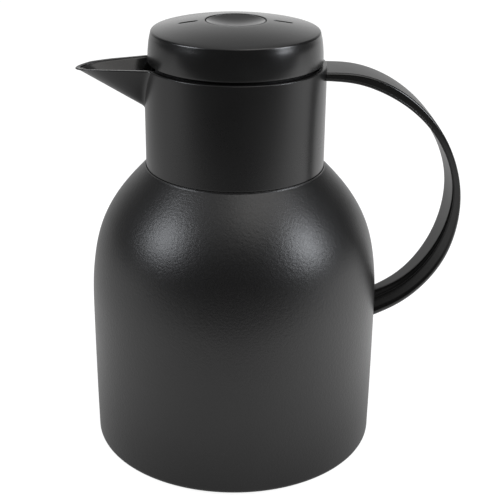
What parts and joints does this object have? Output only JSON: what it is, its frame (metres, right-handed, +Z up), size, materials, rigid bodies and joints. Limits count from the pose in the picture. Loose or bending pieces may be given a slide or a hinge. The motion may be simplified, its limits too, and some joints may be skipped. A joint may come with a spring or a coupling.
{
  "type": "insulated coffee jug",
  "caption": "Insulated table jug with a glass vacuum flask, domed plastic casing, beak spout, looped band handle and a press-button pouring stopper.",
  "frame": {"origin": "centre of the underside of the base, on the surface the jug stands on", "axes": "+Z up along the jug's axis, -X towards the spout, +X towards the handle, +Y across"},
  "size_m": [0.1896, 0.145, 0.2185],
  "materials": {
    "casing_plastic": "fine-grained matte black",
    "neck_plastic": "satin black",
    "base_plastic": "matte black",
    "lid_plastic": "satin black",
    "button_plastic": "satin dark grey",
    "handle_gloss": "semi-gloss black",
    "handle_satin": "satin black",
    "inner_plastic": "moulded black",
    "flask_glass": "clear glass, silvered inside",
    "flask_mirror": "silvered glass",
    "spacer_fibre": "pressed fibre",
    "cradle_rubber": "soft rubber",
    "seal_silicone": "translucent white silicone",
    "steel": "drawn stainless wire and turned steel",
    "acetal": "natural acetal"
  },
  "bodies": {
    "jug": {"body_shell": "casing_plastic", "neck_spout": "neck_plastic", "base_plate": "base_plastic", "flask_outer": "flask_glass", "flask_inner": "flask_mirror", "flask_spacers": "spacer_fibre", "flask_cradle": "cradle_rubber", "mouth_seal": "seal_silicone", "neck_insert": "inner_plastic", "handle_outer": "handle_gloss", "handle_inner": "handle_satin", "handle_screw": "steel"},
    "seal_ring": {"stopper_seal": "seal_silicone"},
    "lid": {"lid_cap": "lid_plastic", "stopper_body": "inner_plastic", "spring_seat": "inner_plastic", "button_spring": "steel", "latch_sleeve": "inner_plastic"},
    "button": {"button": "button_plastic", "valve_stem": "inner_plastic", "valve_plate": "inner_plastic", "valve_seal": "seal_silicone", "stem_clip": "steel"},
    "latch": {"latch_cam": "acetal"}
  },
  "joints": [
    {"name": "lid_lift", "type": "slide", "parent": "jug", "child": "seal_ring", "axis": [0, 0, 1], "range_m": [0, 0.08]},
    {"name": "lid_turn", "type": "hinge", "parent": "seal_ring", "child": "lid", "pos_m": [0, 0, 0.2], "axis": [0, 0, 1], "range_deg": [0, 60]},
    {"name": "button_press", "type": "slide", "parent": "lid", "child": "button", "axis": [0, 0, -1], "range_m": [0, 0.005], "stiffness_N_per_m": 400, "springref_m": -0.01, "deforming": ["button_spring"]},
    {"name": "latch_step", "type": "hinge", "parent": "button", "child": "latch", "pos_m": [0, 0, 0.2], "axis": [0, 0, 1], "range_deg": [-1, 34]}
  ],
  "couplings": [
    {"joint": "latch_step", "follows": "button_press", "rad_per_m": 104}
  ]
}
